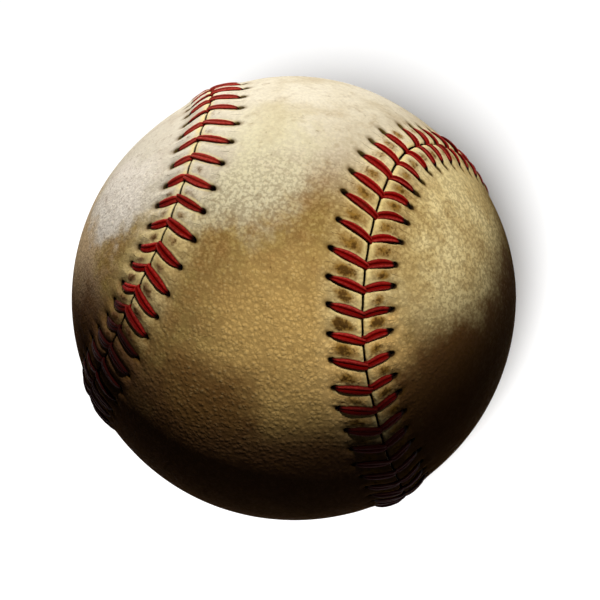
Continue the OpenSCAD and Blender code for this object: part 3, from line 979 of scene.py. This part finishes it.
def thread_material():
    material, g = new_material("waxed_thread")
    strand = g.mapped(g.attribute("strand", "Vector"), FIBRE_STRETCH, FIBRE_LEAN)
    fibre = g.add("TexNoise", {"Vector": strand, "Scale": FIBRE_SCALE, "Detail": 5}).outputs["Fac"]
    patchy = g.noise(120, 4, 0.6)
    colour = g.layers(g.over(*THREAD_SHADES, g.attribute("tone")), [
        (PAINTED_LIGHT_RED, g.facing(*PAINTED_LIGHT_ZONE, patchy)),
        (THREAD_GROOVE, g.ramp(fibre, 0.42, 0.7), 0.5),
        (THREAD_HIGHLIGHT, g.attribute("highlight_streak"), g.ramp(fibre, 0.62, 0.40, 0.15, 0.70)),
        *[(painted_shade, g.facing(*row, patchy)) for *row, painted_shade in SHADED_THREADS],
        (THREAD_CREASE_SHADE, g.attribute("crease"), 0.9),
        (THREAD_END_SHADE, g.ramp(g.attribute("along"), 0.84, 0.97)),
        (THREAD_DIRT, g.ramp(g.noise(420, 4, 0.6), 0.55, 0.75), 0.35),
    ])
    rough = g.ramp(fibre, 0.3, 0.7, 0.36, 0.55)
    finish(g, colour, rough, THREAD_SPECULAR, g.bump(fibre, *FIBRE_BUMP))
    return material


# The bands of a winding, and the cells between them
YARN_TURNED = (0.6, 0.9, 0.3)
BAND_SCALE_SHARE = 0.9
BAND_WAVER = 9
BAND_SHADE = 0.6
CELL_SCALE_SHARE = 2.2


def inner_material(name, base, other, scale, bump_mm, rough, specular=0.4, wound=False):
    """A plain material of two shades, or one with the crossing bands of wound yarn."""
    material, g = new_material(name)
    height = g.noise(scale, 5, 0.6)
    colour = g.over(base, other, g.ramp(height, 0.4, 0.65))
    if wound:
        turned = g.mapped(g.coords, (1, 1, 1), YARN_TURNED)
        values = {"Vector": turned, "Scale": scale * BAND_SCALE_SHARE, "Distortion": BAND_WAVER, "Detail": 3}
        bands = g.add("TexWave", values).outputs["Fac"]
        shaded = tuple(c * BAND_SHADE for c in base[:3]) + (1.0,)
        colour = g.over(colour, shaded, bands, 0.5)
        height = g.plus(g.ramp(g.cells(scale * CELL_SCALE_SHARE, g.coords), 0.1, 0.7), height, bands)
    finish(g, colour, rough, specular, g.bump(height, bump_mm * MM, 0.6))
    return material


# The inner materials by slot: name, two shades, scale, depth of the bumps in mm, roughness, and for the
# windings the specular level and the bands of yarn
INNER_LOOKS = {
    "cork": ("cork_mix", srgb(0.72, 0.55, 0.36), srgb(0.42, 0.29, 0.18), 420, 0.2, 0.8),
    "black_rubber": ("black_rubber", srgb(0.14, 0.14, 0.145), srgb(0.20, 0.20, 0.20), 300, 0.05, 0.6),
    "red_rubber": ("red_rubber", srgb(0.66, 0.22, 0.17), srgb(0.55, 0.16, 0.13), 260, 0.06, 0.55),
    "grey_wool": ("grey_wool", srgb(0.60, 0.60, 0.58), srgb(0.44, 0.44, 0.43), 480, 0.3, 0.95, 0.2, True),
    "white_wool": ("white_wool", srgb(0.88, 0.86, 0.80), srgb(0.74, 0.71, 0.64), 480, 0.3, 0.95, 0.2, True),
    "cotton": ("fine_cotton", srgb(0.92, 0.90, 0.85), srgb(0.80, 0.77, 0.70), 900, 0.15, 0.9, 0.2, True),
    "cement": ("rubber_cement", srgb(0.80, 0.72, 0.52), srgb(0.66, 0.55, 0.36), 200, 0.08, 0.4),
}
inner_materials = {slot: inner_material(*look) for slot, look in INNER_LOOKS.items()}
for part in frame["record"]["subparts"]:
    if part["material_slot"] in inner_materials:
        node = frame["nodes"][part["node"]]
        node.data.materials.clear()
        node.data.materials.append(inner_materials[part["material_slot"]])

pieces = []


def dress(piece, material, node):
    """Puts a finer piece in the place of a CAD node."""
    piece.data.materials.append(material)
    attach(piece, "root")
    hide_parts(node)
    pieces.append(piece)


leather = leather_material()
thread = thread_material()
dress(build_panel("leather_panel_a", 1), leather, "cover_panel_a")
dress(build_panel("leather_panel_b", -1), leather, "cover_panel_b")
dress(build_thread("red_thread_one", 0), thread, "stitch_thread_one")
dress(build_thread("red_thread_two", 1), thread, "stitch_thread_two")

# The camera stands where the photograph was taken. Places in the photograph are in its pixels.
PHOTO_PX = 600.0
BALL_PX = 222.0             # radius of the ball's outline
OFF_MIDDLE_PX = (5.7, -3.0)
DISTANCE_SHARE = 7.5        # distance as a share of the ball's radius
SENSOR_MM = 36.0
CLIP_START_M = 0.01
camera_data = bpy.data.cameras.new("camera")
camera_data.sensor_fit = "HORIZONTAL"
camera_data.sensor_width = SENSOR_MM
camera_data.lens = SENSOR_MM * BALL_PX * math.sqrt(DISTANCE_SHARE ** 2 - 1) / PHOTO_PX
camera_data.shift_x = OFF_MIDDLE_PX[0] / PHOTO_PX
camera_data.shift_y = OFF_MIDDLE_PX[1] / PHOTO_PX
camera_data.clip_start = CLIP_START_M
camera = bpy.data.objects.new("camera", camera_data)
bpy.context.scene.collection.objects.link(camera)
camera_at = TOWARD * (DISTANCE_SHARE * BALL_R * MM)
camera.matrix_world = Matrix([*zip(RIGHT, UP, TOWARD, camera_at), (0, 0, 0, 1)])
bpy.context.scene.camera = camera

# The floor and the lights, in m
WHITE = (1, 1, 1, 1)
FLOOR_HALF = 3.0
FLOOR_DROP = 0.0004
FLOOR_PALE = (0.95, 0.95, 0.95, 1)
FLOOR_DULL = (0.004, 0.004, 0.004, 1)
SHADOW_ENDS = (0.16, 0.30)
WORLD_FILL = 0.02


def seen_directly(g):
    """1 for the rays that show a surface, 0 for the light that it sends to the ball."""
    rays = g.add("LightPath").outputs
    either = g.math("MAXIMUM", rays["Is Camera Ray"], rays["Is Glossy Ray"])
    return g.math("MAXIMUM", either, rays["Is Transmission Ray"])


def floor_material():
    """Pale with the ball's shadow where it is seen near the ball, white far from it, and dull to the ball."""
    material, g = new_material("pale_floor")
    dull = g.add("BsdfDiffuse", {"Color": FLOOR_DULL}).outputs[0]
    pale = g.add("BsdfDiffuse", {"Color": FLOOR_PALE}).outputs[0]
    white = g.add("Emission", {"Color": WHITE, "Strength": 1.0}).outputs[0]
    away = g.add("VectorMath", {0: g.coords}, operation="LENGTH").outputs["Value"]
    shown = g.add("MixShader", {0: g.ramp(away, *SHADOW_ENDS), 1: pale, 2: white}).outputs[0]
    both = g.add("MixShader", {0: seen_directly(g), 1: dull, 2: shown}).outputs[0]
    g.add("OutputMaterial", {"Surface": both})
    return material


floor_z = -BALL_R * MM - FLOOR_DROP
floor = bpy.data.objects.new("floor", bpy.data.meshes.new("floor"))
floor_corners = [(x * FLOOR_HALF, y * FLOOR_HALF, floor_z) for x, y in ((-1, -1), (1, -1), (1, 1), (-1, 1))]
floor.data.from_pydata(floor_corners, [], [(0, 1, 2, 3)])
bpy.context.scene.collection.objects.link(floor)
floor.data.materials.append(floor_material())
floor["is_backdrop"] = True

lit_ball = bpy.data.collections.new("lit_by_key")
lit_floor = bpy.data.collections.new("lit_by_floor_lamp")
for piece in pieces:
    lit_ball.objects.link(piece)
lit_floor.objects.link(floor)


def aim(name, data, direction, target, distance, receivers, blockers=None):
    """Hangs a lamp in a direction from its target, turned to it, and says what it lights."""
    obj = bpy.data.objects.new(name, data)
    obj.location = Vector(target + direction * distance)
    obj.rotation_euler = Vector(direction).to_track_quat("Z", "Y").to_euler()
    bpy.context.scene.collection.objects.link(obj)
    obj.light_linking.receiver_collection = receivers
    if blockers is not None:
        obj.light_linking.blocker_collection = blockers


def area_lamp(name, direction, distance, width, power, receivers, blockers=None):
    data = bpy.data.lights.new(name, "AREA")
    data.shape = "DISK"
    data.size = width
    data.energy = power
    aim(name, data, unit(direction), np.zeros(3), distance, receivers, blockers)


KEY_DISTANCE = 0.6
KEY_WIDE_SHARE = 1.20    # radius of the key's cone at the ball, as a share of the ball's
key_data = bpy.data.lights.new("key", "SPOT")
key_data.energy = 13.3
key_data.color = (1.0, 0.99, 0.96)
key_data.shadow_soft_size = 0.005
key_data.spot_size = 2 * math.atan(KEY_WIDE_SHARE * BALL_R * MM / KEY_DISTANCE)
key_data.spot_blend = 0.273
key_target = seen_from(-0.255, 0.152, 0) * BALL_R * MM
aim("key", key_data, seen_from(0.170, 0.599, 0.783), key_target, KEY_DISTANCE, lit_ball)
area_lamp("rim", seen_from(-0.38, 0.81, -0.45), distance=0.9, width=0.3, power=6.2, receivers=lit_ball,
          blockers=lit_ball)
area_lamp("floor_lamp", seen_from(-0.13, -0.07, 0.98), distance=0.9, width=0.26, power=13.2,
          receivers=lit_floor)
# The far side, which the photograph doesn't show, gets a soft light of its own
area_lamp("far_side", -TOWARD, distance=1.2, width=0.2, power=8.0, receivers=lit_ball, blockers=lit_ball)

world = bpy.data.worlds.new("world")
bpy.context.scene.world = world
world.use_nodes = True
background = world.node_tree.nodes["Background"]
background.inputs["Color"].default_value = WHITE
sky = Nodes(world.node_tree)
sky.put(background.inputs["Strength"], sky.level(seen_directly(sky), WORLD_FILL, 1.0))

bpy.context.scene.view_settings.view_transform = "Standard"

low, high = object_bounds()
